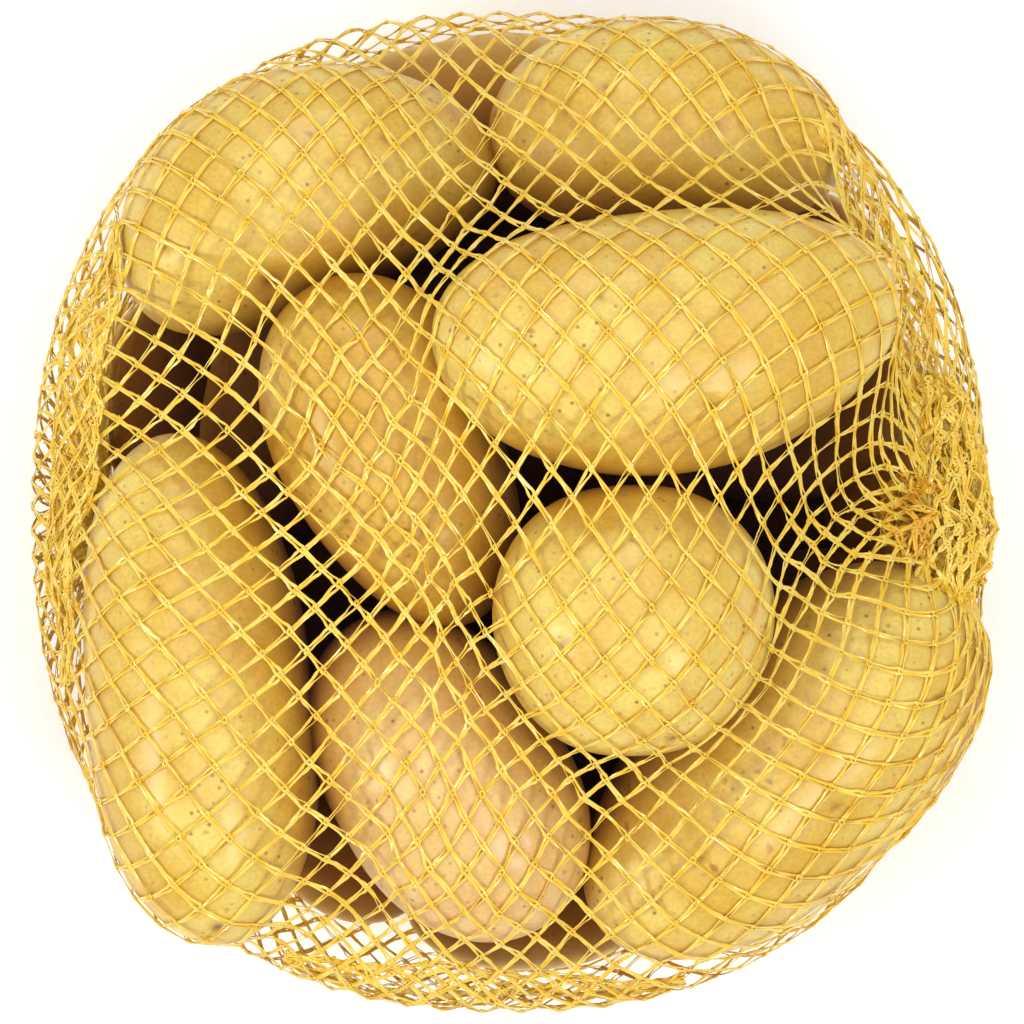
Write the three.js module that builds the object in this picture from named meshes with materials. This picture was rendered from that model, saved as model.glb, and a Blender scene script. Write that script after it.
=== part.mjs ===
// A net bag of potatoes, lying on a table as it is seen from above.
// Millimetres, +Z up, origin on the table under the middle of the bag; the net tube runs along X.
//
// The bag is one closed solid. Every knot of the net is a vertex on a ray from the middle of the
// bag. It lies on the outermost potato that its ray meets or on the slack roll of net round the
// rim. Over a gap the tight net would span it from neighbour to neighbour, but what is seen
// through it is the hollow between the potatoes, so there the solid sinks into the hollow.
import * as THREE from "three";

// ---- the bag ----
const BAG_LENGTH = 228; // between the tips of the two gathered ends
const BAG_WIDTH = 236; // across the tube, along Y
const BAG_HEIGHT = 132;
const MIDDLE_HEIGHT = 58; // of the point that every ray starts from
const FLOOR_TOUCH = 1.6; // net that hangs lower than this is pressed flat on the table

// ---- the net ----
const CELLS_AROUND = 50; // diamonds in one turn of the tube
const ROWS_ALONG = 51; // rows of knots from one gathered neck to the other
const NET_GAP = 1; // from a potato's skin to the middle of the net
const CELL_SINK = 1.3; // how far the middle of a diamond lies under its knots
const CELL_DISH = 0.12; // the most of that for each mm of a diamond's width
const PULL_ROUNDS = 500; // rounds of drawing the net tight
const SAG = 0.14; // how far each round lets the upper net sink between the potatoes
const HOLLOW = { sag: 2.6, rounds: 120, deepest: 36 }; // the same for the solid under the net

// ---- the gathered ends ----
const FULLNESS = { left: 4, right: 2 }; // of the tube towards each end: at 2 it is an ellipse
const LEFT_DROP = 38; // how much lower than the right-hand neck the left-hand one lies
const NECK = { radius: 6, left: -97, right: 95 }; // half its height, and where each is along X
const PLEATS = { count: 14, depth: 1.8, spread: 34 }; // folds that run out from a neck
const TUFT_RINGS = 3; // rows of knots beyond each neck
const TUFT = { left: -108, right: 114, wider: 2.2, taller: 1.3, pleat: 0.1 }; // tips, and their spread

// ---- what the net is drawn over ----
// at: middle, in mm. size: length, width, thickness. turn: of the long axis from +X towards +Y,
// tilt: of its far end upwards, both in degrees. bend: how far both ends curve to one side.
// taper: how much wider the far end is than the near one.
const POTATO_END = 2.25; // above 2 the ends are blunter than an ellipsoid's
const POTATOES = {
  top_left: { at: [-48, 75, 64], size: [91, 55, 52], turn: 20, bend: -7, taper: -0.1 },
  top_right: { at: [37, 89, 64], size: [85, 52, 50], turn: -4, bend: -3, taper: -0.08 },
  middle_left: { at: [-28, 13, 81], size: [88, 54, 49], turn: -67, tilt: -3, taper: -0.05 },
  middle_right: { at: [36, 40, 102], size: [109, 60, 54], turn: 12, tilt: -6, taper: -0.06 },
  centre: { at: [28, -25, 102], size: [66, 63, 58] },
  lower_left: { at: [-73, -42, 70], size: [120, 53, 52], turn: -84, taper: 0.05 },
  lower_middle: { at: [-14, -63, 72], size: [82, 57, 52], turn: -58 },
  lower_right: { at: [63, -60, 65], size: [112, 64, 58], turn: 45, taper: 0.04 },
  under_right: { at: [64, 26, 28], size: [70, 48, 48], turn: 8 },
  under_neck: { at: [68, -31, 24], size: [76, 44, 46], turn: 4 },
  under_left: { at: [-50, 28, 26], size: [80, 46, 50], turn: 75 },
  base_top: { at: [-8, 90, 27], size: [92, 48, 50], turn: 3 },
  base_middle: { at: [-3, 16, 24], size: [66, 44, 46], turn: 75 },
  base_left: { at: [-46, -56, 25], size: [90, 52, 48], turn: -65 },
  base_right: { at: [11, -56, 25], size: [74, 50, 48], turn: -60 },
};
// the slack net round the rim, which stands out beyond the potatoes in one soft roll
const SLACK = { at: [-0.6, 0, 50], size: [BAG_LENGTH - 3.3, BAG_WIDTH, 70], corners: 2.3 };

const MIDDLE = new THREE.Vector3(0, 0, MIDDLE_HEIGHT);

// A test for points inside a blunt, bent and tapered ellipsoid that is swollen by the net's gap.
function insidePotato({ at, size, turn = 0, tilt = 0, bend = 0, taper = 0 }) {
  const toWorld = new THREE.Matrix4()
    .makeTranslation(...at)
    .multiply(new THREE.Matrix4().makeRotationZ(THREE.MathUtils.degToRad(turn)))
    .multiply(new THREE.Matrix4().makeRotationY(-THREE.MathUtils.degToRad(tilt)));
  const toLocal = toWorld.invert();
  const [long, wide, thick] = size.map((side) => side / 2 + NET_GAP);
  const local = new THREE.Vector3();
  return (point) => {
    local.copy(point).applyMatrix4(toLocal);
    const along = local.x / long;
    const swell = 1 + taper * THREE.MathUtils.clamp(along, -1, 1);
    const aside = bend * (along * along - 1 / 3); // 1 / 3 keeps the bent potato's middle in place
    const across = (local.y - aside) / (wide * swell);
    const up = local.z / (thick * swell);
    return Math.abs(along) ** POTATO_END + across * across + up * up < 1;
  };
}

// The same test for the roll of slack net, which is a rounded square seen from above.
function insideSlack({ at, size, corners }) {
  return ({ x, y, z }) =>
    Math.abs((2 * (x - at[0])) / size[0]) ** corners +
      Math.abs((2 * (y - at[1])) / size[1]) ** corners +
      ((2 * (z - at[2])) / size[2]) ** 2 <
    1;
}

// The distance from the middle at which a ray leaves the last thing it meets, or 0.
function lastHit(ray, tests) {
  const point = new THREE.Vector3();
  const isInside = (reach) => {
    point.copy(MIDDLE).addScaledVector(ray, reach);
    return tests.some((inside) => inside(point));
  };
  const step = 1.5;
  let outer = BAG_WIDTH; // well outside the bag, which reaches half as far
  while (outer > 0 && !isInside(outer - step)) outer -= step;
  if (outer <= 0) return 0;
  let inner = outer - step;
  for (let halving = 0; halving < 8; halving++) {
    const half = (inner + outer) / 2;
    if (isInside(half)) inner = half;
    else outer = half;
  }
  return inner;
}

// Angles that cut a curve, which gives a point [x, y] for each angle, into equal lengths.
function evenAngles(curve, first, last, count) {
  const fine = 4000;
  const angle = (k) => first + ((last - first) * k) / fine;
  const lengths = [0];
  let before = curve(first);
  for (let k = 1; k <= fine; k++) {
    const here = curve(angle(k));
    lengths.push(lengths[k - 1] + Math.hypot(here[0] - before[0], here[1] - before[1]));
    before = here;
  }
  const angles = [];
  let k = 0;
  for (let cut = 0; cut <= count; cut++) {
    while (k < fine && lengths[k] < (lengths[fine] * cut) / count) k++;
    angles.push(angle(k));
  }
  return angles;
}

// The tube at an angle that runs from its left end to its right one: where that is along X, and
// how wide the tube is there, as a share of its widest.
function tubeOutline(angle) {
  const [cosine, sine] = [Math.cos(angle), Math.sin(angle)];
  const power = cosine > 0 ? FULLNESS.left : FULLNESS.right;
  const out = (Math.abs(cosine) ** power + sine ** power) ** (-1 / power);
  return [(-BAG_LENGTH / 2) * out * cosine, out * sine];
}

// How much lower than the middle the tube's axis runs: not at all on the right, most at the left.
function axisDrop(x) {
  return LEFT_DROP * THREE.MathUtils.clamp((-2 * x) / BAG_LENGTH, 0, 1) ** 3;
}

// Rays to an even grid on a barrel of the bag's size, whose poles are the gathered necks.
function netRays(rows, columns) {
  const halfWidth = BAG_WIDTH / 2;
  const halfHeight = BAG_HEIGHT / 2;
  const neckAngle = Math.asin(NECK.radius / halfHeight);
  const side = (angle) => {
    const [x, ring] = tubeOutline(angle);
    return [x, ring * halfHeight];
  };
  const section = (angle) => [halfWidth * Math.cos(angle), halfHeight * Math.sin(angle)];
  const along = evenAngles(side, neckAngle, Math.PI - neckAngle, rows - 1);
  const around = evenAngles(section, 0, 2 * Math.PI, columns).slice(0, columns);
  return along.map((a) => {
    const [x, ring] = tubeOutline(a);
    return around.map((b) => {
      const [y, z] = section(b);
      return new THREE.Vector3(x, ring * y, ring * z - axisDrop(x)).normalize();
    });
  });
}

// Lets every knot sink by the sag and then draws it to the mean of its four neighbours, but never
// further in than its floor. The first and last rows are the necks, which stay where they are.
function relax(rays, reach, floor, sag, rounds) {
  const rows = rays.length;
  const columns = rays[0].length;
  const pull = new THREE.Vector3();
  for (let round = 0; round < rounds; round++)
    for (let i = 1; i < rows - 1; i++)
      for (let j = 0; j < columns; j++) {
        pull.set(0, 0, 0);
        for (const [di, dj] of [[-1, 0], [1, 0], [0, -1], [0, 1]]) {
          const [a, b] = [i + di, (j + dj + columns) % columns];
          pull.addScaledVector(rays[a][b], reach[a][b] / 4);
        }
        reach[i][j] = Math.max(floor[i][j], pull.dot(rays[i][j]) - sag[i][j]);
      }
}

// How far out each knot sits: on what lies under it, or sunk into the hollow over a gap.
function knotReach(rays, tests) {
  const held = rays.map((row) => row.map((ray) => lastHit(ray, tests)));
  held[0] = rays[0].map((ray) => NECK.left / ray.x);
  held[rays.length - 1] = rays[rays.length - 1].map((ray) => NECK.right / ray.x);
  const reach = held.map((row) => row.slice());
  const onTop = (ray, sag) => (ray.z > 0 ? sag : 0);
  relax(rays, reach, held, rays.map((row) => row.map((ray) => onTop(ray, SAG))), PULL_ROUNDS);

  // the meshes are narrow near a neck, and hide the hollow there
  const openness = (row) => Math.min(1, Math.hypot(row[0].y, row[0].z) / Math.abs(row[0].x)) ** 2;
  const sags = rays.map((row) => row.map((ray) => onTop(ray, HOLLOW.sag * openness(row))));
  const floor = held.map((row, i) => row.map((far, j) => Math.max(far, reach[i][j] - HOLLOW.deepest)));
  relax(rays, reach, floor, sags, HOLLOW.rounds);
  return reach;
}

// The height of the net's folds round a neck: none at the neck, deepest a little way out.
function pleat(offAxis, turn) {
  const share = THREE.MathUtils.clamp((offAxis - NECK.radius) / PLEATS.spread, 0, 1);
  const depth = PLEATS.depth * Math.sin(Math.PI * share);
  return depth * Math.cos(2 * Math.PI * PLEATS.count * turn);
}

function middleOf(ring) {
  const sum = new THREE.Vector3();
  for (const point of ring) sum.add(point);
  return sum.divideScalar(ring.length);
}

// The bunched net beyond a neck: copies of the neck's ring that fan out, in pleats one cell wide.
function tuftRing(ring, neckRing, tip) {
  const share = ring / TUFT_RINGS;
  const bulge = Math.sin((share * Math.PI) / 2);
  const middle = middleOf(neckRing);
  return neckRing.map(({ x, y, z }, j) => {
    const pleated = 1 + (j % 2 ? -1 : 1) * TUFT.pleat * share;
    const wider = (1 + (TUFT.wider - 1) * bulge) * pleated;
    const taller = (1 + (TUFT.taller - 1) * bulge) * pleated;
    return new THREE.Vector3(x + share * (tip - x), y * wider, middle.z + (z - middle.z) * taller);
  });
}

function netBag() {
  const columns = 2 * CELLS_AROUND;
  const rays = netRays(ROWS_ALONG, columns);
  const tests = [...Object.values(POTATOES).map(insidePotato), insideSlack(SLACK)];
  const reach = knotReach(rays, tests);

  // knots and cell middles take turns along every row; the middles are sunk
  const skin = rays.map((row, i) =>
    row.map((ray, j) => {
      const point = MIDDLE.clone().addScaledVector(ray, reach[i][j]);
      if (point.z < FLOOR_TOUCH) return point.addScaledVector(ray, -point.z / ray.z);
      const offAxis = Math.hypot(point.y, point.z - MIDDLE_HEIGHT + axisDrop(point.x));
      const cellWidth = (4 * Math.PI * offAxis) / columns;
      const sink = (i + j) % 2 ? Math.min(CELL_SINK, cellWidth * CELL_DISH) : 0;
      return point.addScaledVector(ray, pleat(offAxis, j / columns) - sink);
    }),
  );
  const leftTuft = [];
  const rightTuft = [];
  for (let ring = 1; ring <= TUFT_RINGS; ring++) {
    leftTuft.unshift(tuftRing(ring, skin[0], TUFT.left));
    rightTuft.push(tuftRing(ring, skin[skin.length - 1], TUFT.right));
  }
  const rings = [...leftTuft, ...skin, ...rightTuft];

  const points = rings.flat();
  const faces = [];
  for (let i = 0; i < rings.length - 1; i++)
    for (let j = 0; j < columns; j++) {
      const next = (j + 1) % columns;
      const [a, b] = [i * columns + j, i * columns + next];
      const [c, d] = [a + columns, b + columns];
      // each square is cut along the thread that crosses it
      const threadFromA = (i - TUFT_RINGS + j) % 2 === 0;
      if (threadFromA) faces.push(a, d, c, a, b, d);
      else faces.push(a, b, c, b, d, c);
    }
  // a flat disc of triangles shuts each tuft
  for (const end of [0, rings.length - 1]) {
    const hub = points.length;
    points.push(middleOf(rings[end]));
    for (let j = 0; j < columns; j++) {
      const rim = [end * columns + j, end * columns + ((j + 1) % columns)];
      if (end) rim.reverse();
      faces.push(hub, rim[1], rim[0]);
    }
  }
  return new THREE.BufferGeometry().setFromPoints(points).setIndex(faces);
}

const yellowNet = new THREE.MeshStandardMaterial({ color: 0xe6c25a, roughness: 0.45, metalness: 0 });

const bag = new THREE.Mesh(netBag(), yellowNet);
bag.name = "net_bag";

const group = new THREE.Group();
group.add(bag);

export default group;
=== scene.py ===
"""A net bag of washed yellow potatoes, lying on a table and seen from straight above.

The net is worked out as the real one is: a knitted tube of thin tape, gathered at both ends and
drawn tight over the potatoes. Named sizes are in millimetres, +Z up, with the origin on the
table under the middle of the bag and the net tube along X. Meshes are in metres.
"""

import bpy
import numpy as np
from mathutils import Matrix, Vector


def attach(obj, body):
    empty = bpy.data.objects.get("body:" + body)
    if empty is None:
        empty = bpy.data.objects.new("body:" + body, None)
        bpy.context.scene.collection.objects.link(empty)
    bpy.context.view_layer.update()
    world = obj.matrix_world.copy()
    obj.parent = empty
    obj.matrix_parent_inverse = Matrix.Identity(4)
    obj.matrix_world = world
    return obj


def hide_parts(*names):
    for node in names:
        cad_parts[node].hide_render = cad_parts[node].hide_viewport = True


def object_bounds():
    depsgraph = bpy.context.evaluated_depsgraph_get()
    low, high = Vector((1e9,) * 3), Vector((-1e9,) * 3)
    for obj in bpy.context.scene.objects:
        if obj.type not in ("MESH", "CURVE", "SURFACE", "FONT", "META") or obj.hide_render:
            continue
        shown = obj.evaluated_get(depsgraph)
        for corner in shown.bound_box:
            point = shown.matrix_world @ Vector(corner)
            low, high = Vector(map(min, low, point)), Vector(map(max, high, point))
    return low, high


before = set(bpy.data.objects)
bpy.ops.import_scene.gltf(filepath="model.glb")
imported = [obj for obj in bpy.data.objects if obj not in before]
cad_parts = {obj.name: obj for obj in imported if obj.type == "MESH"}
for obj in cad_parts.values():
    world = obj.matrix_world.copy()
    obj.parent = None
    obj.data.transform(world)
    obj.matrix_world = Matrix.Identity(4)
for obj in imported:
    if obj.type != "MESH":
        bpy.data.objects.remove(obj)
cad_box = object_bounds()

METRE = 0.001  # one millimetre
BAG = "net_bag"
BAG_LENGTH, BAG_WIDTH, BAG_HEIGHT = (np.array(cad_box[1]) - np.array(cad_box[0])) / METRE
HALF_LENGTH, HALF_WIDTH, HALF_HEIGHT = BAG_LENGTH / 2, BAG_WIDTH / 2, BAG_HEIGHT / 2
MIDDLE = np.array([0.0, 0.0, 58.0])  # the point that every ray to a knot starts from

# ---- potatoes ----
# at: middle. size: length, width, thickness. turn: of the long axis from +X towards +Y.
# tilt: of its far end upwards. bend: how far both ends curve to one side. taper: how much wider
# the far end is than the near one. skin: which of the skins, where it isn't the yellow one. The
# potatoes of the lower layer are seen only through the gaps of the upper one.
POTATO_END = 2.25  # above 2 the ends are blunter than an ellipsoid's
POTATOES = {
    "top_left": dict(at=(-50, 74, 64), size=(94, 57, 52), turn=20, bend=-7, taper=-0.08),
    "top_right": dict(at=(37, 89, 64), size=(85, 52, 50), turn=-4, bend=-3, taper=-0.08),
    "middle_left": dict(at=(-27, 14, 81), size=(88, 53, 49), turn=-65, tilt=-3, taper=-0.13, skin="deep"),
    "middle_right": dict(at=(36, 41.5, 102), size=(109, 61, 54), turn=6, tilt=-6, bend=5, taper=-0.05),
    "centre": dict(at=(28, -25, 102), size=(66, 63, 58)),
    "lower_left": dict(at=(-74, -42, 70), size=(120, 55, 52), turn=-84, taper=0.04),
    "lower_middle": dict(at=(-15, -62, 72), size=(84, 57, 52), turn=-59, skin="pink"),
    "lower_right": dict(at=(64, -59, 65), size=(115, 64, 58), turn=45, taper=0.05),
    "under_right": dict(at=(64, 26, 28), size=(70, 48, 48), turn=8),
    "under_neck": dict(at=(68, -31, 24), size=(76, 44, 46), turn=4),
    "under_left": dict(at=(-50, 28, 26), size=(80, 46, 50), turn=75),
    "base_top": dict(at=(-8, 90, 27), size=(92, 48, 50), turn=3),
    "base_middle": dict(at=(-3, 16, 24), size=(66, 44, 46), turn=75, skin="pink"),
    "base_left": dict(at=(-46, -56, 25), size=(90, 52, 48), turn=-65),
    "base_right": dict(at=(11, -56, 25), size=(74, 50, 48), turn=-60),
    "deep_top": dict(at=(-22, 49, 20), size=(52, 34, 36), turn=25),
    "deep_left": dict(at=(-39, -14, 20), size=(50, 34, 36), turn=-40),
    "deep_middle": dict(at=(30, -3, 24), size=(56, 34, 44), turn=65),
    "deep_right": dict(at=(76, -3, 13), size=(66, 24, 25), turn=0),
    "deep_far_left": dict(at=(-83, 28, 16), size=(52, 32, 31), turn=85),
    "deep_ridge": dict(at=(9, 62, 24), size=(44, 28, 34), turn=12),
    "deep_neck": dict(at=(88, 5, 26), size=(34, 26, 34), turn=80),
    "deep_far_right": dict(at=(77, 56, 26), size=(42, 26, 36), turn=105, skin="pink"),
    "rim_bottom": dict(at=(4, -93, 19), size=(58, 33, 36), turn=3),
}
LOWER_LAYER = ("under", "base", "deep")  # how the names of the potatoes in it begin
SEEN_GRID, LOWER_GRID = (96, 132), (60, 84)  # rings along a potato, and points in each ring

# How a potato's skin varies: slow swells, and painted shade: a dark brown that darkens the skin
# where it lies deep below the net, in place of the shade that falls between the potatoes.
SWELL = dict(waves=10, shortest=26, longest=75, height=0.0042)  # height for each mm of wave length
PAINTED_SHADE_DEPTH = dict(starts=5, thickens=50)  # depth below the net, and how much deeper it is full

# the slack net round the rim stands out beyond the potatoes in one soft roll
SLACK = dict(at=(-0.6, 0, 50), size=(BAG_LENGTH - 3.3, BAG_WIDTH, 70), corners=2.3)

# ---- net ----
STRAND = 7.6  # from knot to knot
COLUMNS = 98  # steps of half a mesh in one turn of the tube
NET_GAP = 0.75  # from a potato's skin to the middle of the net
NECK_RADIUS = 6  # half the gathered neck's height
NECK_REACH = (-97, 95)  # x of the left-hand neck and of the right-hand one
TUFT_REACH = (-108, 110)  # x of the bunched net's tips beyond them
LEFT_DROP = 38  # how much lower the left-hand neck lies
CORNERS = (4.0, 2.0)  # how full the tube stays towards its left and right ends: 2 is an ellipse
LEAST_ROW_STEP = 4.3  # along the tube, from row to row of knots
PULL = dict(rounds=700, sag=0.1)  # drawing the net tight, and how far it sags over a gap
SETTLE = dict(rounds=60, share=0.6, jitter=0.45)  # evening out of the strands
# The bunched net beyond a neck puffs out and turns back in. Each row: its share of the way to the
# tips, and how much wider (y) and taller (z) it is than the neck. Their count is even, so that the
# rows of knots go on in step.
TUFT = [
    (0.15, 1.1, 1.1), (0.35, 1.25, 1.4), (0.58, 1.4, 1.6), (0.8, 1.55, 1.6), (0.97, 1.65, 1.3),
    (1.0, 1.65, 0.9), (0.9, 1.6, 0.5), (0.7, 1.5, 0.3), (0.5, 1.4, 0.5), (0.3, 1.2, 0.7),
]
TUFT_CRUMPLE = 1.1  # how far its knots lie out of place
TAPE = dict(half_width=0.35, half_thickness=0.13, clear=0.3)  # clear: of a potato's skin

# Slack of the tube that lies in folds round the rim, each a flattened tube of net on top of the
# skin. facing: the two compass directions that it runs between, from +X towards +Y. rise: angle
# above the horizon of its middle. spread: half its width as an angle. lift: how far its middle
# lies off the skin. deep: half its thickness. Angles in degrees, seen from the middle of the bag.
FOLDS = {
    "left_band": dict(facing=(144, 201), rise=5, spread=3.2, lift=0.6, deep=0.9, rows=27, columns=7),
    "right_band": dict(facing=(10, 52), rise=7, spread=4.5, lift=0.4, deep=1.2, rows=18, columns=6),
    "bottom_band": dict(facing=(243, 290), rise=-2, spread=6, lift=-1, deep=1.6, rows=19, columns=7),
}

# Flaps of crumpled net that lie flat over the right-hand neck and its tuft. out: distance of the
# flap's middle from the bag's axis. wide: half its width. high: its height above the table.
# deep: half its thickness. crumple: how far its knots lie out of place.
FLAPS = {
    "neck_fan": dict(
        facing=(-18, 17), out=104.5, wide=8, high=72, deep=3, crumple=0.7, rows=19, columns=15),
    "neck_crease": dict(
        facing=(-13, 12), out=103, wide=7, high=69, deep=3, crumple=0.9, rows=14, columns=13),
    "neck_curls": dict(
        facing=(-6, 5), out=94, wide=6, high=73, deep=3, crumple=1.3, rows=9, columns=12),
}

random = np.random.default_rng(7)


# ---------------------------------------------------------------- forms of the potatoes

def turning(turn=0.0, tilt=0.0):
    """The rotation that turns +X by turn about Z, after raising its end by tilt, in degrees."""
    t, e = np.radians(turn), np.radians(tilt)
    about_z = np.array([[np.cos(t), -np.sin(t), 0], [np.sin(t), np.cos(t), 0], [0, 0, 1]])
    about_y = np.array([[np.cos(e), 0, -np.sin(e)], [0, 1, 0], [np.sin(e), 0, np.cos(e)]])
    return about_z @ about_y


def lumps(local, seed):
    """Slow swells of the skin: a sum of sine waves that run in random directions."""
    draw = np.random.default_rng(seed)
    length = draw.uniform(SWELL["shortest"], SWELL["longest"], SWELL["waves"])
    direction = draw.normal(size=(SWELL["waves"], 3))
    direction /= np.linalg.norm(direction, axis=1)[:, None]
    phase = draw.uniform(0, 2 * np.pi, SWELL["waves"])
    waves = np.sin(local @ (direction * (2 * np.pi / length)[:, None]).T + phase)
    return waves @ (SWELL["height"] * length)


def potato_distance(points, at, size, turn=0, tilt=0, bend=0, taper=0, seed=0):
    """Rough distance of points from a potato's skin, below 0 inside, and the way out.

    With s along the half length, y across and z up, the form is |s|^2.25 + y^2 + z^2 = 1, where
    y is first unbent by bend * (s^2 - 1/3) and both are divided by the taper 1 + taper * s. The
    distance is that sum less 1, over the length of its slope, less the lumps.
    """
    axes = turning(turn, tilt)
    local = (points - np.array(at)) @ axes
    long, wide, thick = np.array(size) / 2
    s = local[:, 0] / long
    held = np.clip(s, -1, 1)
    swell = 1 + taper * held
    y = (local[:, 1] - bend * (held * held - 1 / 3)) / (wide * swell)
    z = local[:, 2] / (thick * swell)
    total = np.abs(s) ** POTATO_END + y * y + z * z
    slope = np.stack([
        POTATO_END * np.sign(s) * np.abs(s) ** (POTATO_END - 1) / long,
        2 * y / (wide * swell),
        2 * z / (thick * swell),
    ], axis=1)
    steep = np.linalg.norm(slope, axis=1) + 1e-9
    return (total - 1) / steep - lumps(local, seed), (slope / steep[:, None]) @ axes.T


def slack_distance(points):
    """The same for the roll of slack net, |x|^2.3 + |y|^2.3 + z^2 = 1 in half sizes."""
    half = np.array(SLACK["size"]) / 2
    p = (points - np.array(SLACK["at"])) / half
    power = np.array([SLACK["corners"], SLACK["corners"], 2.0])
    total = (np.abs(p) ** power).sum(axis=1)
    slope = power * np.sign(p) * np.abs(p) ** (power - 1) / half
    steep = np.linalg.norm(slope, axis=1) + 1e-9
    return (total - 1) / steep, slope / steep[:, None]


def make_mesh(name, points, faces, material, smooth=True):
    """A mesh object from points in millimetres and an array of faces, or a list of such arrays."""
    groups = [np.asarray(group) for group in (faces if isinstance(faces, list) else [faces])]
    groups = [group for group in groups if len(group)]
    mesh = bpy.data.meshes.new(name)
    sides = np.concatenate([np.full(len(group), group.shape[1]) for group in groups])
    mesh.vertices.add(len(points))
    mesh.vertices.foreach_set("co", (points * METRE).astype(np.float32).ravel())
    mesh.loops.add(int(sides.sum()))
    mesh.loops.foreach_set("vertex_index", np.concatenate([group.ravel() for group in groups]))
    mesh.polygons.add(len(sides))
    mesh.polygons.foreach_set("loop_start", np.concatenate([[0], np.cumsum(sides)[:-1]]))
    mesh.polygons.foreach_set("use_smooth", np.full(len(sides), smooth))
    mesh.update(calc_edges=True)
    mesh.validate()
    mesh.materials.append(material)
    piece = bpy.data.objects.new(name, mesh)
    bpy.context.scene.collection.objects.link(piece)
    return piece


def grid_faces(rings, sides, start=0):
    """The four-sided faces of rings of points joined in a tube, each ring closed on itself."""
    ring = np.arange(rings - 1)[:, None] * sides
    side = np.arange(sides)[None, :]
    nearer, next_side = ring + side, ring + (side + 1) % sides
    return start + np.stack([nearer, next_side, next_side + sides, nearer + sides], -1).reshape(-1, 4)


def potato_points(form, rings, sides):
    """Points on the blunt, bent, tapered form: one at each end, and rings spaced by the cosine."""
    bend, taper = form.get("bend", 0), form.get("taper", 0)
    long, wide, thick = np.array(form["size"]) / 2
    angle = np.linspace(0, np.pi, rings + 2)[:, None]
    s = -np.sign(np.cos(angle)) * np.abs(np.cos(angle)) ** (2 / POTATO_END)
    girth = np.sqrt(np.clip(1 - np.abs(s) ** POTATO_END, 0, 1)) * (1 + taper * s)
    turn = np.linspace(0, 2 * np.pi, sides, endpoint=False)[None, :]
    local = np.stack([
        long * s + 0 * turn,
        wide * girth * np.cos(turn) + bend * (s * s - 1 / 3),
        thick * girth * np.sin(turn),
    ], axis=-1)
    local = np.concatenate([local[:1, 0], local[1:-1].reshape(-1, 3), local[-1:, 0]])
    axes = turning(form.get("turn", 0), form.get("tilt", 0))
    return local, local @ axes.T + np.array(form["at"])


def potato_faces(rings, sides):
    """The walls between its rings, and a fan of triangles at each end."""
    ring = np.arange(sides)
    first = 1 + ring
    last = 1 + (rings - 1) * sides + ring
    far_end = rings * sides + 1
    fans = np.concatenate([
        np.stack([0 * ring, np.roll(first, -1), first], axis=1),
        np.stack([0 * ring + far_end, last, np.roll(last, -1)], axis=1),
    ])
    return [grid_faces(rings, sides, start=1), fans]


def eye_dents(points, out, eyes):
    """How far the eyes push the skin out, and how brown they are.

    Each eye is a dimple, -exp(-d^2 / r^2), with a low brow on one side of it at 1.5 r.
    """
    push, brown = np.zeros(len(points)), np.zeros(len(points))
    for x, y, radius, depth in eyes:
        underneath = np.where(out[:, 2] > 0.1, 0, 1e6)
        centre = points[np.argmin((points[:, 0] - x) ** 2 + (points[:, 1] - y) ** 2 + underneath)]
        apart = np.linalg.norm(points - centre, axis=1)
        side = (points - centre) @ np.array([0.5, 0.7, 0.5]) / radius
        brow = np.exp(-((apart / radius - 1.5) ** 2) * 3) * np.clip(side, 0, 1)
        push += depth * (0.4 * brow - np.exp(-((apart / radius) ** 2)))
        brown = np.maximum(brown, np.exp(-((apart / (0.55 * radius)) ** 2)) * min(1, depth))
    return push, brown


def painted_shade_on(points, out, skin_of_net):
    """How much painted shade lies on the skin, 0 to 1: it deepens with the depth below the net, measured
    upwards where the skin faces up and outwards from the middle where it faces sideways."""
    outwards = skin_reach(points, skin_of_net) - np.linalg.norm(points - MIDDLE, axis=1)
    upwards = skin_height(points, skin_of_net) - points[:, 2]
    facing_up = np.clip(out[:, 2], 0, 1)
    depth = outwards + (upwards - outwards) * facing_up
    return np.clip((depth - PAINTED_SHADE_DEPTH["starts"]) / PAINTED_SHADE_DEPTH["thickens"], 0, 1)


def give(piece, name, values):
    """Adds a number for each point of a mesh, which its material reads by name."""
    piece.data.attributes.new(name, "FLOAT", "POINT").data.foreach_set("value", values.astype(np.float32))


def make_potato(name, form, seed, grid, eyes, skin_of_net, material):
    """One potato, whose points are moved along the way out by its swells and its eyes."""
    local, points = potato_points(form, *grid)
    out = potato_distance(points, **form)[1]
    push, brown = eye_dents(points, out, eyes)
    points = points + out * (lumps(local, seed) + push)[:, None]
    piece = make_mesh(name, points, potato_faces(*grid), material)
    give(piece, "eye", brown)
    give(piece, "painted_shade", painted_shade_on(points, out, skin_of_net))
    return piece


# ---------------------------------------------------------------- form of the net

def obstacles():
    """Each thing that the net is drawn over, as a function from points to distance and way out."""
    tests = [slack_distance]
    for seed, form in enumerate(POTATOES.values()):
        tests.append(lambda points, form=form, seed=seed: potato_distance(points, seed=seed, **form))
    return tests


def even_cuts(curve, steps=None, weight=1.0):
    """Places that cut a curve, points by rows, into steps of equal weighted length.

    The places are shares of the curve's own parameter, from 0 to 1. Without a number of steps
    there are as many as the weighted length is long.
    """
    length = np.linalg.norm(np.diff(curve, axis=0), axis=1) * weight
    run = np.concatenate([[0], np.cumsum(length)])
    if steps is None:
        steps = round(run[-1])
    return np.interp(np.linspace(0, run[-1], steps + 1), run, np.linspace(0, 1, len(curve)))


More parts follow.
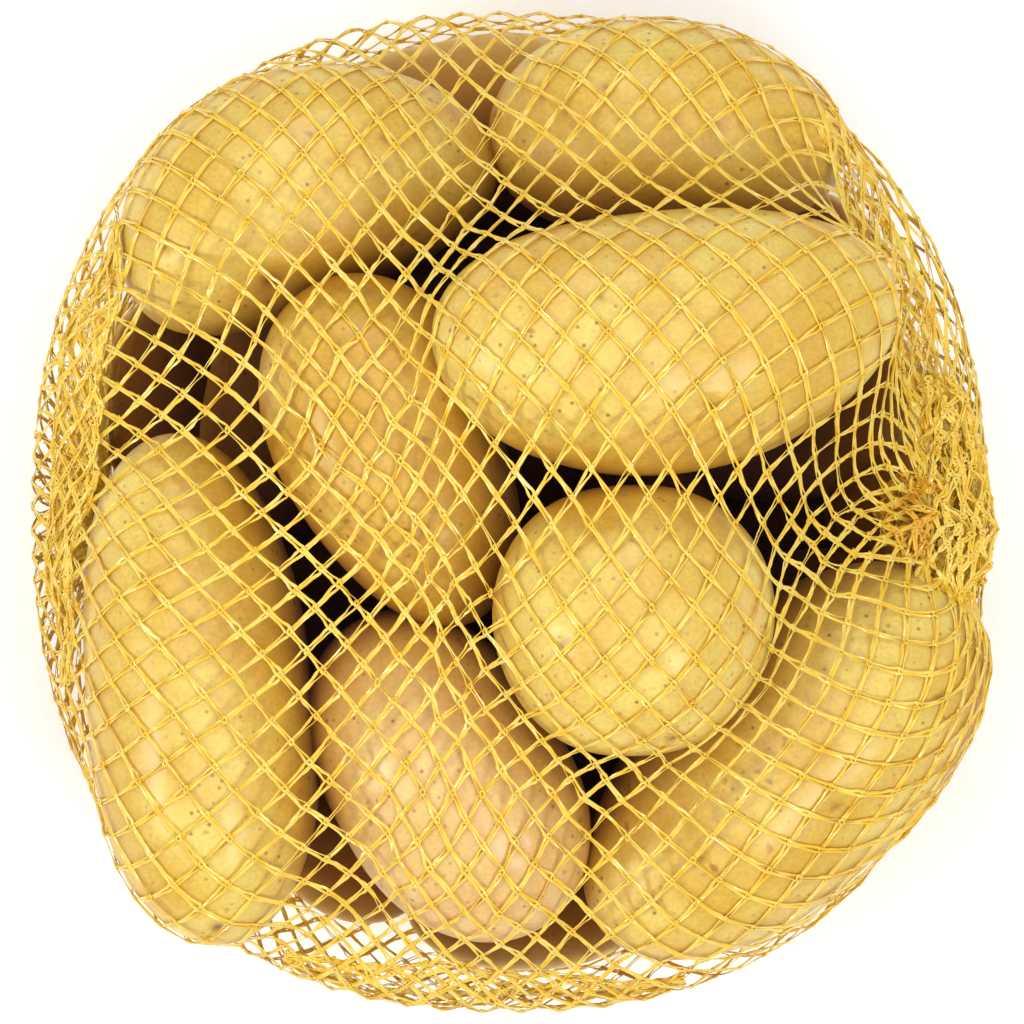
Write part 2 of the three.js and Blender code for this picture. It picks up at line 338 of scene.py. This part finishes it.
def tube_outline(share):
    """The tube seen from the side: how far along it is, and how wide its ring is as a share.

    With angle = pi * share, the outline is r * (-cos, sin), where |cos * r|^p + |sin * r|^p = 1
    and p is one number for the left half and another for the right half.
    """
    angle = np.pi * share
    power = np.where(angle < np.pi / 2, *CORNERS)
    cosine, sine = np.cos(angle), np.sin(angle)
    reach = (np.abs(cosine) ** power + np.abs(sine) ** power) ** (-1 / power)
    return -HALF_LENGTH * reach * cosine, reach * sine


def knot_rays():
    """Rays to a grid on a barrel of the bag's size, whose poles are the gathered necks.

    Every strand is as long as the next: where the tube narrows towards a neck and the meshes get
    narrow, the rows of knots lie further apart, by sqrt(strand^2 - step round the tube^2).
    """
    girth = 2 * np.pi * np.sqrt((HALF_WIDTH ** 2 + HALF_HEIGHT ** 2) / 2)
    share = np.linspace(0, 1, 4001)
    place, ring = tube_outline(share)
    wide_enough = ring * HALF_HEIGHT >= NECK_RADIUS
    share, place, ring = share[wide_enough], place[wide_enough], ring[wide_enough]
    side = np.stack([place, ring * (HALF_WIDTH + HALF_HEIGHT) / 2], axis=1)
    step_round = girth * ring[1:] / COLUMNS
    rows_per_mm = 1 / np.sqrt(np.maximum(STRAND ** 2 - step_round ** 2, LEAST_ROW_STEP ** 2))
    cuts = share[0] + even_cuts(side, weight=rows_per_mm) * (share[-1] - share[0])
    place, ring = (values[:, None] for values in tube_outline(cuts))
    turn = np.linspace(0, 2 * np.pi, 2001)
    section = np.stack([HALF_WIDTH * np.cos(turn), HALF_HEIGHT * np.sin(turn)], axis=1)
    around = 2 * np.pi * even_cuts(section, COLUMNS)[None, :-1]
    drop = LEFT_DROP * np.clip(-place / HALF_LENGTH, 0, 1) ** 3
    rays = np.stack([
        place + 0 * around,
        HALF_WIDTH * ring * np.cos(around),
        HALF_HEIGHT * ring * np.sin(around) - drop,
    ], axis=-1)
    return rays / np.linalg.norm(rays, axis=-1, keepdims=True)


def inside_any(points, tests):
    """Whether each point lies inside an obstacle that is swollen by the net's gap."""
    inside = np.zeros(len(points), bool)
    for test in tests:
        inside |= test(points)[0] < NET_GAP
    return inside


def outermost(rays, tests):
    """How far along each ray the last obstacle ends: steps inwards, then halves the last step."""
    flat = rays.reshape(-1, 3)
    step = 2.0
    reach = np.arange(HALF_WIDTH + 6, 0, -step)
    outer = np.zeros(len(flat))
    unmet = np.ones(len(flat), bool)
    for distance in reach:
        todo = np.flatnonzero(unmet)
        hit = inside_any(MIDDLE + flat[todo] * distance, tests)
        outer[todo[hit]] = distance + step
        unmet[todo[hit]] = False
    inner = outer - step
    for _ in range(7):
        half = (inner + outer) / 2
        inside = inside_any(MIDDLE + flat * half[:, None], tests)
        inner, outer = np.where(inside, half, inner), np.where(inside, outer, half)
    return inner.reshape(rays.shape[:2])


def draw_tight(rays, tests):
    """How far out each knot sits: on what its ray meets, or where its four neighbours pull it to."""
    held = outermost(rays, tests)
    held[[0, -1]] = np.array(NECK_REACH)[:, None] / rays[[0, -1], :, 0]
    reach = held.copy()
    sag = np.where(rays[1:-1, :, 2] > 0, PULL["sag"], 0)
    for _ in range(PULL["rounds"]):
        at = rays * reach[..., None]
        pull = (at[2:] + at[:-2] + np.roll(at, 1, 1)[1:-1] + np.roll(at, -1, 1)[1:-1]) / 4
        reach[1:-1] = np.maximum(held[1:-1], (pull * rays[1:-1]).sum(-1) - sag)
    return MIDDLE + rays * reach[..., None]


def skin_reach(points, skin_of_net):
    """How far the net lies from the middle in the direction of each point.

    A mean over the net's skin, weighted by exp(400 * (cosine of the angle to each knot - 1)).
    """
    knots = skin_of_net[1:-1].reshape(-1, 3) - MIDDLE
    reach = np.linalg.norm(knots, axis=1)
    rays = (knots / reach[:, None]).astype(np.float32)
    away = points - MIDDLE
    away = (away / (np.linalg.norm(away, axis=1, keepdims=True) + 1e-9)).astype(np.float32)
    weight = np.exp(400 * (away @ rays.T - 1))
    return (weight @ reach) / (weight.sum(axis=1) + 1e-12)


def skin_height(points, skin_of_net):
    """How high the top of the net lies over each point.

    A mean over its upper half, weighted by exp(-(distance in plan / 7 mm)^2).
    """
    knots = skin_of_net[1:-1].reshape(-1, 3)
    knots = knots[knots[:, 2] > SLACK["at"][2]].astype(np.float32)
    flat, over = points[:, :2].astype(np.float32), knots[:, :2]
    apart = (flat ** 2).sum(axis=1)[:, None] + (over ** 2).sum(axis=1) - 2 * flat @ over.T
    weight = np.exp(-apart / 7 ** 2)
    return (weight @ knots[:, 2]) / (weight.sum(axis=1) + 1e-12)


def push_out(points, tests, gap):
    """Moves points that are inside an obstacle, or nearer than gap, out of it, and off the table."""
    for test in tests:
        distance, out = test(points)
        points = points + out * np.clip(gap - distance, 0, 3)[:, None]
    points[:, 2] = np.maximum(points[:, 2], gap)
    return points


def knots_of(skin_of_net):
    """Every other point of the skin is a knot: on odd rows they lie half a mesh further round."""
    rows = np.arange(len(skin_of_net))[:, None]
    column = 2 * np.arange(COLUMNS // 2)[None, :] + rows % 2
    return skin_of_net[rows, column]


def settle(knots, tests):
    """Evens out the strands of the net, which is jolted first and then clears the obstacles.

    Each round moves the two knots of a strand that is too long towards each other. The strands run
    from each row of knots to the next, one to the same column and one to the column beside it.
    """
    rows = np.arange(len(knots) - 1)[:, None]
    same = np.broadcast_to(np.arange(knots.shape[1]), (len(rows), knots.shape[1]))
    beside = np.where(rows % 2 == 1, same + 1, same - 1) % knots.shape[1]
    necks = knots[[0, -1]].copy()
    knots = knots + random.normal(0, SETTLE["jitter"], knots.shape)
    for _ in range(SETTLE["rounds"]):
        move = np.zeros_like(knots)
        for end in (same, beside):
            apart = knots[rows + 1, end] - knots[rows, same]
            length = np.linalg.norm(apart, axis=-1, keepdims=True) + 1e-9
            share = np.maximum(length - STRAND, 0) / length / 2
            np.add.at(move, (rows + 0 * same, same), apart * share)
            np.add.at(move, (rows + 1 + 0 * same, end), -apart * share)
        knots = knots + SETTLE["share"] * move
        knots[[0, -1]] = necks
        knots[1:-1] = push_out(knots[1:-1].reshape(-1, 3), tests, NET_GAP).reshape(knots[1:-1].shape)
    return knots


def with_tufts(knots):
    """Adds the bunched net beyond each neck: crumpled copies of the neck's ring, by TUFT."""
    tufts = []
    for ring, tip in ((knots[0], TUFT_REACH[0]), (knots[-1], TUFT_REACH[1])):
        rows = []
        middle = ring.mean(axis=0)
        for share, wider, taller in TUFT:
            place = middle + (ring - middle) * np.array([1, wider, taller])
            place[:, 0] = ring[:, 0] + share * (tip - ring[:, 0])
            rows.append(place + random.normal(0, TUFT_CRUMPLE * min(1, 2 * share), place.shape))
        tufts.append(rows)
    return np.array(tufts[0][::-1] + list(knots) + tufts[1])


def ring_turns(rows, columns):
    """The angle of each knot round a small tube of net: half a mesh further round on odd rows."""
    half_mesh = (np.arange(rows) % 2)[:, None] / 2
    return 2 * np.pi * (np.arange(columns)[None, :] + half_mesh) / columns


def fold_knots(skin_of_net, facing, rise, spread, lift, deep, rows, columns):
    """Knots of a fold: a tube of net laid along the rim and pressed flat.

    Its section is an ellipse, spread along the skin and deep across it, that swells and shrinks
    by the sine of the way along it and wanders by slow waves. Both ends taper into the skin.
    """
    share = np.linspace(0, 1, rows)[:, None]
    turn = ring_turns(rows, columns)
    taper = np.sin(np.pi * np.clip(share, 0.03, 0.97)) ** 0.35
    sway = smooth_waves(rows)
    swell = 1 + 0.16 * smooth_waves(rows)
    east = np.radians(facing[0] + (facing[1] - facing[0]) * share) + 0 * turn
    up = np.radians(rise + 1.4 * sway + spread * swell * taper * np.cos(turn))
    away = np.stack([np.cos(east) * np.cos(up), np.sin(east) * np.cos(up), np.sin(up)], axis=-1)
    out = lift * taper + deep * taper * np.sin(turn) + 0.7 * smooth_waves(rows)
    reach = skin_reach(MIDDLE + away.reshape(-1, 3), skin_of_net).reshape(rows, columns)
    knots = MIDDLE + away * (reach + out)[..., None]
    return knots + random.normal(0, 0.22, knots.shape)


def flap_knots(facing, out, wide, high, deep, crumple, rows, columns):
    """Knots of a flap: a flattened tube of net that runs round the bag's axis and lies level."""
    share = np.linspace(0, 1, rows)[:, None]
    turn = ring_turns(rows, columns)
    taper = np.sin(np.pi * np.clip(share, 0.04, 0.96)) ** 0.4
    east = np.radians(facing[0] + (facing[1] - facing[0]) * share) + 0 * turn
    away = out + wide * taper * np.cos(turn) + 1.2 * smooth_waves(rows)
    up = high + deep * taper * np.sin(turn) + 0.8 * smooth_waves(rows)
    knots = np.stack([away * np.cos(east), away * np.sin(east), up], axis=-1)
    return knots + random.normal(0, crumple, knots.shape)


def smooth_waves(count):
    """One slowly wandering number for each row: a sum of three sine waves of random phase."""
    place = np.arange(count)[:, None]
    length = random.uniform(6, 18, 3)[None, :]
    phase = random.uniform(0, 2 * np.pi, 3)[None, :]
    return np.sin(2 * np.pi * place / length + phase).sum(axis=1, keepdims=True) / 2


def normals_of(knots):
    """The way out at each knot: across the line along the tube and the line round it."""
    along = np.gradient(knots, axis=0)
    around = np.roll(knots, -1, 1) - np.roll(knots, 1, 1)
    normal = np.cross(around, along)
    normal /= np.linalg.norm(normal, axis=-1, keepdims=True) + 1e-9
    outward = (normal * (knots - MIDDLE)).sum(-1, keepdims=True)
    return normal * np.where(outward < 0, -1, 1)


# ---------------------------------------------------------------- threads of the net

# Along a strand from one knot (0) to the next (1): half the distance between its two tapes, in
# millimetres. They lie side by side, then open into a slim eye just before the next knot.
ALONG = np.array([0.0, 0.15, 0.36, 0.58, 0.77, 0.89])
SPREAD = np.array([0.36, 0.26, 0.28, 0.31, 0.49, 0.55])
OVER = np.array([0.22, 0.10, 0.0, 0.0, 0.03, 0.14])  # how far one lean passes over the other


def threads_of(knots, lean):
    """The knots that each thread of one lean passes, row by row: it moves half a mesh round a row."""
    rows = np.arange(len(knots))[:, None]
    columns = knots.shape[1]
    start = np.arange(columns)[None, :]
    column = (2 * start + lean * rows) % (2 * columns)
    return (knots[rows, column // 2]).transpose(1, 0, 2)


def smooth_between(values):
    """Catmull-Rom curve through the values of each thread, sampled at ALONG within every strand."""
    before = np.concatenate([2 * values[:, :1] - values[:, 1:2], values[:, :-1]], axis=1)
    after = np.concatenate([values[:, 1:], 2 * values[:, -1:] - values[:, -2:-1]], axis=1)
    a, b, c = before[:, :-1, None], values[:, :-1, None], values[:, 1:, None]
    d = after[:, 1:, None]
    t = ALONG[None, None, :, None]
    curve = b + 0.5 * t * (c - a + t * (2 * a - 5 * b + 4 * c - d + t * (3 * (b - c) + d - a)))
    curve = curve.reshape(len(values), -1, values.shape[-1])
    return np.concatenate([curve, values[:, -1:]], axis=1)


def unit(vectors):
    return vectors / (np.linalg.norm(vectors, axis=-1, keepdims=True) + 1e-9)


def tape_threads(knots, normals, lean, tests):
    """Points and faces of both tapes of every thread of one lean, as flat four-sided tubes.

    The section's corners are the path plus or minus the half width across and the half thickness
    up, and it rocks about the path by a slow random angle, so that its gloss comes and goes.
    """
    path = smooth_between(threads_of(knots, lean))
    up = unit(smooth_between(threads_of(normals, lean)))
    ahead = unit(np.gradient(path, axis=1))
    across = unit(np.cross(up, ahead))
    strands = len(knots) - 1
    spread = np.append(np.tile(SPREAD, strands), SPREAD[0])[None, :, None]
    vary = smooth_between(random.normal(0, 1, (len(path), strands + 1, 1)))
    over = np.append(np.tile(OVER, strands), OVER[0])[None, :, None]
    points, faces = [], []
    count = 0
    for side in (-1, 1):
        wander = across * random.normal(0, 0.05, path.shape[:2] + (1,))
        centre = path + across * side * spread * (1 + 0.22 * vary) + up * lean * over + wander
        potatoes = tests[1:]
        centre = push_out(centre.reshape(-1, 3), potatoes, TAPE["clear"]).reshape(centre.shape)
        rock = 0.75 * smooth_between(random.normal(0, 1, (len(path), strands + 1, 1)))
        flatwise = across * np.cos(rock) + up * np.sin(rock)
        edgewise = up * np.cos(rock) - across * np.sin(rock)
        stretched = np.clip(1 + random.normal(0, 0.13, path.shape[:2] + (1,)), 0.7, 1.35)
        wide = TAPE["half_width"] * stretched
        thick = TAPE["half_thickness"]
        corners = np.stack([
            centre + flatwise * wide, centre + edgewise * thick,
            centre - flatwise * wide, centre - edgewise * thick,
        ], axis=2)
        threads, rings = centre.shape[:2]
        tube = grid_faces(rings, 4)
        caps = np.array([[3, 2, 1, 0], [0, 1, 2, 3] + np.array(4 * (rings - 1))])
        one = np.concatenate([tube, caps])
        starts = count + np.arange(threads)[:, None, None] * rings * 4
        points.append(corners.reshape(-1, 3))
        faces.append((starts + one[None]).reshape(-1, 4))
        count += threads * rings * 4
    return np.concatenate(points), np.concatenate(faces)


def knot_wraps(knots, normals):
    """A short loop of tape round every crossing: a flat ring, longer round the tube than along it.

    The ring is an ellipse in the plane of the net, carried by a four-sided section.
    """
    place = knots.reshape(-1, 3)
    up = unit(normals.reshape(-1, 3))
    around = unit((np.roll(knots, -1, 1) - np.roll(knots, 1, 1)).reshape(-1, 3))
    along = unit(np.cross(around, up))
    steps, sides = 6, 4
    turn = np.linspace(0, 2 * np.pi, steps, endpoint=False)
    section = np.linspace(0, 2 * np.pi, sides, endpoint=False)
    long = random.uniform(0.7, 1.0, (len(place), 1, 1, 1))
    slim = random.uniform(0.42, 0.65, (len(place), 1, 1, 1))
    ring = np.cos(turn)[None, :, None, None], np.sin(turn)[None, :, None, None]
    out = 1 + 0.5 * np.cos(section)[None, None, :, None]
    lift = 0.34 * np.sin(section)[None, None, :, None]
    pull = [vector[:, None, None, :] for vector in (place + up * 0.12, around, along, up)]
    points = pull[0] + pull[1] * long * ring[0] * out + pull[2] * slim * ring[1] * out + pull[3] * lift
    step = np.arange(steps)[:, None]
    side = np.arange(sides)[None, :]
    next_step, next_side = (step + 1) % steps, (side + 1) % sides
    one = np.stack([
        step * sides + side, step * sides + next_side,
        next_step * sides + next_side, next_step * sides + side,
    ], axis=-1).reshape(-1, 4)
    starts = np.arange(len(place))[:, None, None] * steps * sides
    return points.reshape(-1, 3), (starts + one[None]).reshape(-1, 4)


# ---------------------------------------------------------------- materials

def linear(hex_colour):
    """An sRGB hex colour as linear red, green, blue and alpha."""
    parts = np.array([int(hex_colour[k:k + 2], 16) / 255 for k in (1, 3, 5)])
    parts = np.where(parts <= 0.04045, parts / 12.92, ((parts + 0.055) / 1.055) ** 2.4)
    return (*parts, 1.0)


def add(tree, kind, inputs=None, stops=None, **settings):
    """Adds a node: settings are its properties, inputs are values or sockets to link, and stops are
    the places and colours of a colour ramp."""
    node = tree.nodes.new(kind)
    for name, value in settings.items():
        setattr(node, name, value)
    for name, value in (inputs or {}).items():
        if isinstance(value, bpy.types.NodeSocket):
            tree.links.new(value, node.inputs[name])
        else:
            node.inputs[name].default_value = value
    if stops:
        elements = node.color_ramp.elements
        while len(elements) < len(stops):
            elements.new(1.0)
        for element, (place, colour) in zip(elements, stops):
            element.position = place
            element.color = colour
    return node


def new_material(name):
    material = bpy.data.materials.new(name)
    material.use_nodes = True
    material.node_tree.nodes.clear()
    return material, material.node_tree


def grey(value):
    return (value, value, value, 1.0)


def potato_skin(name, ground, light, blush):
    """Skin of a washed table potato: thin, smooth and a little moist, over pale wet flesh.

    The eye sees a warm yellow that drifts over centimetres between straw and a pinkish beige,
    brown pin-head pores a few millimetres apart, and a soft gloss broken up by shallow waves.
    Deep between the potatoes the skin is darkened to a dark brown: painted shade.
    """
    material, tree = new_material(name)
    place = add(tree, "ShaderNodeTexCoord").outputs["Object"]
    drift = add(tree, "ShaderNodeTexNoise", {
        "Vector": place, "Scale": 38.0, "Detail": 2.0, "Roughness": 0.55})
    yellow = add(tree, "ShaderNodeValToRGB", {"Fac": drift.outputs["Fac"]},
                 stops=[(0.34, linear(ground)), (0.66, linear(light))])
    patch = add(tree, "ShaderNodeTexNoise", {
        "Vector": place, "Scale": 70.0, "Detail": 2.0, "Roughness": 0.6})
    patch_on = add(tree, "ShaderNodeValToRGB", {"Fac": patch.outputs["Fac"]},
                   stops=[(0.5, grey(0)), (0.74, grey(0.6))])
    skin = add(tree, "ShaderNodeMix", {
        0: patch_on.outputs["Color"], 6: yellow.outputs["Color"], 7: linear(blush)}, data_type="RGBA")
    # pores: 0.5 to 1 mm across, about 5 mm apart
    pore = add(tree, "ShaderNodeTexVoronoi", {"Vector": place, "Scale": 300.0, "Randomness": 1.0})
    pore_spot = add(tree, "ShaderNodeValToRGB", {"Fac": pore.outputs["Distance"]},
                    stops=[(0.07, grey(0.85)), (0.2, grey(0))])
    crowd_on = add(tree, "ShaderNodeMapRange", {
        "Value": drift.outputs["Fac"], "From Min": 0.42, "From Max": 0.62, "To Min": 0.1, "To Max": 1.0})
    pore_on = add(tree, "ShaderNodeMix", {
        0: 1.0, 6: pore_spot.outputs["Color"], 7: crowd_on.outputs["Result"],
    }, data_type="RGBA", blend_type="MULTIPLY")
    pored = add(tree, "ShaderNodeMix", {
        0: pore_on.outputs[2], 6: skin.outputs[2], 7: linear("#94602c")}, data_type="RGBA")
    # scabs and nicks: ragged, 1 to 3 mm
    scab = add(tree, "ShaderNodeTexNoise", {
        "Vector": place, "Scale": 210.0, "Detail": 1.0, "Roughness": 0.6})
    scab_on = add(tree, "ShaderNodeValToRGB", {"Fac": scab.outputs["Fac"]},
                  stops=[(0.72, grey(0)), (0.8, grey(0.65))])
    scabbed = add(tree, "ShaderNodeMix", {
        0: scab_on.outputs["Color"], 6: pored.outputs[2], 7: linear("#9a6a38")}, data_type="RGBA")
    # fine mottling of the skin, about 1 mm
    fine = add(tree, "ShaderNodeTexNoise", {
        "Vector": place, "Scale": 900.0, "Detail": 1.0, "Roughness": 0.65})
    fine_tone = add(tree, "ShaderNodeValToRGB", {"Fac": fine.outputs["Fac"]},
                    stops=[(0.3, grey(0.9)), (0.7, grey(1.05))])
    mottled = add(tree, "ShaderNodeMix", {
        0: 1.0, 6: scabbed.outputs[2], 7: fine_tone.outputs["Color"],
    }, data_type="RGBA", blend_type="MULTIPLY")
    eye = add(tree, "ShaderNodeAttribute", attribute_name="eye")
    eyed = add(tree, "ShaderNodeMix", {0: eye.outputs["Fac"], 6: mottled.outputs[2], 7: linear("#7a4a20")},
               data_type="RGBA")
    # painted shade: the deeper the skin lies below the net, the darker it is painted, through golden brown
    # to near black
    painted_shade = add(tree, "ShaderNodeAttribute", attribute_name="painted_shade")
    shade_ramp = add(tree, "ShaderNodeValToRGB", {"Fac": painted_shade.outputs["Fac"]}, stops=[
        (0.0, (1, 1, 1, 1)), (0.14, (0.92, 0.8, 0.55, 1)), (0.36, (0.56, 0.4, 0.18, 1)),
        (0.66, (0.27, 0.135, 0.045, 1)), (1.0, (0.06, 0.022, 0.007, 1)),
    ])
    shaded_skin = add(tree, "ShaderNodeMix", {0: 1.0, 6: eyed.outputs[2], 7: shade_ramp.outputs["Color"]},
                 data_type="RGBA", blend_type="MULTIPLY")
    # washed skin is moist and glossy; it is made rough and dull where the painted shade lies
    wet = add(tree, "ShaderNodeMapRange", {"Value": fine.outputs["Fac"], "To Min": 0.24, "To Max": 0.42})
    rough = add(tree, "ShaderNodeMath", {0: wet.outputs["Result"], 1: painted_shade.outputs["Fac"]},
                operation="ADD", use_clamp=True)
    # shallow waves of 5 to 8 mm break the gloss up
    waves = add(tree, "ShaderNodeTexNoise", {"Vector": place, "Scale": 150.0, "Detail": 0.0})
    bump = add(tree, "ShaderNodeBump", {
        "Height": waves.outputs["Fac"], "Strength": 0.3, "Distance": 0.0013})
    shader = add(tree, "ShaderNodeBsdfPrincipled", {
        "Base Color": shaded_skin.outputs[2],
        "Roughness": rough.outputs[0],
        "IOR": 1.45,
        "Normal": bump.outputs["Normal"],
    })
    add(tree, "ShaderNodeOutputMaterial", {"Surface": shader.outputs[0]})
    return material


def net_tape(name, deep, pale):
    """Slit and stretched polyethylene tape, dyed through in yellow and knitted into a net.

    The eye sees a clear egg-yolk yellow, paler where light comes through the thin tape, and short
    white glints where a tape turns over.
    """
    material, tree = new_material(name)
    place = add(tree, "ShaderNodeTexCoord").outputs["Object"]
    drift = add(tree, "ShaderNodeTexNoise", {"Vector": place, "Scale": 260.0, "Detail": 0.0})
    colour = add(tree, "ShaderNodeValToRGB", {"Fac": drift.outputs["Fac"]},
                 stops=[(0.3, linear(deep)), (0.7, linear(pale))])
    gloss = add(tree, "ShaderNodeBsdfPrincipled", {
        "Base Color": colour.outputs["Color"],
        "Roughness": 0.18,
        "IOR": 1.51,
        "Specular IOR Level": 0.6,
    })
    through = add(tree, "ShaderNodeBsdfTranslucent", {"Color": linear("#ffbe2e")})
    shader = add(tree, "ShaderNodeMixShader", {0: 0.14, 1: gloss.outputs[0], 2: through.outputs[0]})
    add(tree, "ShaderNodeOutputMaterial", {"Surface": shader.outputs[0]})
    return material


def backdrop_paper():
    """Matt white paper under the bag, with a little light shining up through it."""
    material, tree = new_material("backdrop_paper")
    shader = add(tree, "ShaderNodeBsdfPrincipled", {
        "Base Color": linear("#fcfcfb"),
        "Roughness": 0.9,
        "Emission Color": (1, 1, 1, 1),
        "Emission Strength": 0.13,
    })
    add(tree, "ShaderNodeOutputMaterial", {"Surface": shader.outputs[0]})
    return material


# ---------------------------------------------------------------- the bag

def dress(piece):
    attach(piece, "root")
    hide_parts(BAG)
    return piece


# x and y of each eye as seen from above, its radius and its depth
EYES = {
    "top_left": [(-56, 54, 4.0, 1.0), (-82, 62, 2.4, 0.6), (-30, 88, 2.2, 0.5)],
    "top_right": [(48, 92, 2.4, 0.5), (22, 100, 2.2, 0.5)],
    "middle_left": [(-34, 30, 2.4, 0.5), (-20, -4, 2.2, 0.5)],
    "middle_right": [(46, 25, 2.4, 0.6), (62, 27, 2.0, 0.5), (20, 50, 2.4, 0.5), (90, 44, 2.4, 0.6)],
    "centre": [(37, -53, 2.6, 0.7), (12, -30, 2.2, 0.5), (44, -12, 2.0, 0.4)],
    "lower_left": [(-69, -98, 2.8, 0.9), (-84, -20, 2.2, 0.5), (-62, 2, 2.2, 0.5)],
    "lower_middle": [(-33, -72, 1.6, 0.6), (2, -78, 2.2, 0.5), (-10, -48, 2.0, 0.4)],
    "lower_right": [(34, -92, 2.4, 0.7), (43, -81, 2.4, 0.7), (76, -70, 2.4, 0.6), (99, -44, 2.4, 0.6)],
}


def make_net(name, knots, tests, tape, halves=1):
    """The tapes and the knots of one tube of net, with the tapes of a lean in so many pieces."""
    normals = normals_of(knots)
    for lean, side_name in ((1, "rising"), (-1, "falling")):
        points, faces = tape_threads(knots, normals, lean, tests)
        some_points, some_faces = len(points) // halves, len(faces) // halves
        for half in range(halves):
            first = half * some_points
            dress(make_mesh(
                f"{name}_{side_name}_tapes_{half + 1}", points[first:first + some_points],
                faces[half * some_faces:(half + 1) * some_faces] - first, tape, smooth=False,
            ))
    points, faces = knot_wraps(knots, normals)
    dress(make_mesh(name + "_knots", points, faces, tape))


skins = {
    "yellow": potato_skin("washed_potato_skin_yellow", "#d6ad42", "#e5cb68", "#d9ab58"),
    "deep": potato_skin("washed_potato_skin_deep", "#cb9c2f", "#dcb653", "#cf9c48"),
    "pink": potato_skin("washed_potato_skin_pink", "#dcb265", "#e6c37b", "#d9a268"),
}
spread_tape = net_tape("knitted_polyethylene_tape", "#f6cc3c", "#fce066")
# the same tape painted a darker orange yellow: painted shade for the crumpled curls at the neck
shaded_tape = net_tape("polyethylene_tape_painted_shade", "#eeb42a", "#f6c944")

skin_names = [form.pop("skin", "yellow") for form in POTATOES.values()]
tests = obstacles()
skin_of_net = draw_tight(knot_rays(), tests)
for seed, (name, form) in enumerate(POTATOES.items()):
    grid = LOWER_GRID if name.startswith(LOWER_LAYER) else SEEN_GRID
    skin = skins[skin_names[seed]]
    potato = make_potato("potato_" + name, form, seed, grid, EYES.get(name, []), skin_of_net, skin)
    dress(potato)

make_net("net", with_tufts(settle(knots_of(skin_of_net), tests)), tests, spread_tape, halves=2)
for name, fold in FOLDS.items():
    make_net("net_" + name, fold_knots(skin_of_net, **fold), tests, spread_tape)
for name, flap in FLAPS.items():
    # the curls at the neck get the tape with painted shade
    tape = shaded_tape if name == "neck_curls" else spread_tape
    make_net("net_" + name, flap_knots(**flap), tests, tape)


# ---------------------------------------------------------------- stage, light and camera

PHOTO_WIDTH = 1024 * 0.235  # what the picture takes in, in millimetres
CAMERA_HEIGHT = 3.0  # metres above the table
FOCUS_HEIGHT = 0.08  # metres above the table, where the picture is as wide as that
SENSOR = 36.0  # the camera's own width of picture


def area_light(name, place, aim, size, power, colour):
    light = bpy.data.lights.new(name, "AREA")
    light.shape = "RECTANGLE"
    light.size, light.size_y = size
    light.energy = power
    light.color = linear(colour)[:3]
    lamp = bpy.data.objects.new(name, light)
    lamp.location = place
    direction = np.array(aim) - np.array(place)
    lamp.rotation_euler = Vector(direction).to_track_quat("-Z", "Y").to_euler()
    bpy.context.scene.collection.objects.link(lamp)


floor_corners = np.array([[-1, -1, 0], [1, -1, 0], [1, 1, 0], [-1, 1, 0]]) * 1500.0 - [0, 0, 0.2]
floor = make_mesh("floor", floor_corners, np.array([[0, 1, 2, 3]]), backdrop_paper(), smooth=False)
area_light("overhead", (0.1, 0, 1.3), (0, 0, 0.05), (1.4, 1.4), 8.4, "#ffffff")
area_light("left_front", (-0.95, -0.35, 0.75), (0, 0, 0.05), (0.35, 0.35), 5.0, "#ffffff")
area_light("right_front", (0.5, -0.62, 0.95), (0, 0, 0.05), (0.3, 0.3), 4.0, "#ffffff")
area_light("back", (-0.1, 1.0, 0.9), (0, 0, 0.05), (0.5, 0.5), 3.4, "#ffffff")

world = bpy.data.worlds.new("studio")
world.use_nodes = True
world.node_tree.nodes["Background"].inputs["Color"].default_value = (1, 1, 1, 1)
world.node_tree.nodes["Background"].inputs["Strength"].default_value = 0.45
bpy.context.scene.world = world
bpy.context.scene.view_settings.view_transform = "Standard"

camera_data = bpy.data.cameras.new("camera")
camera_data.sensor_width = SENSOR
camera_data.lens = SENSOR * (CAMERA_HEIGHT - FOCUS_HEIGHT) / (PHOTO_WIDTH * METRE)
camera_data.clip_end = 20
camera = bpy.data.objects.new("camera", camera_data)
camera.location = (0, 0, CAMERA_HEIGHT)
bpy.context.scene.collection.objects.link(camera)
bpy.context.scene.camera = camera
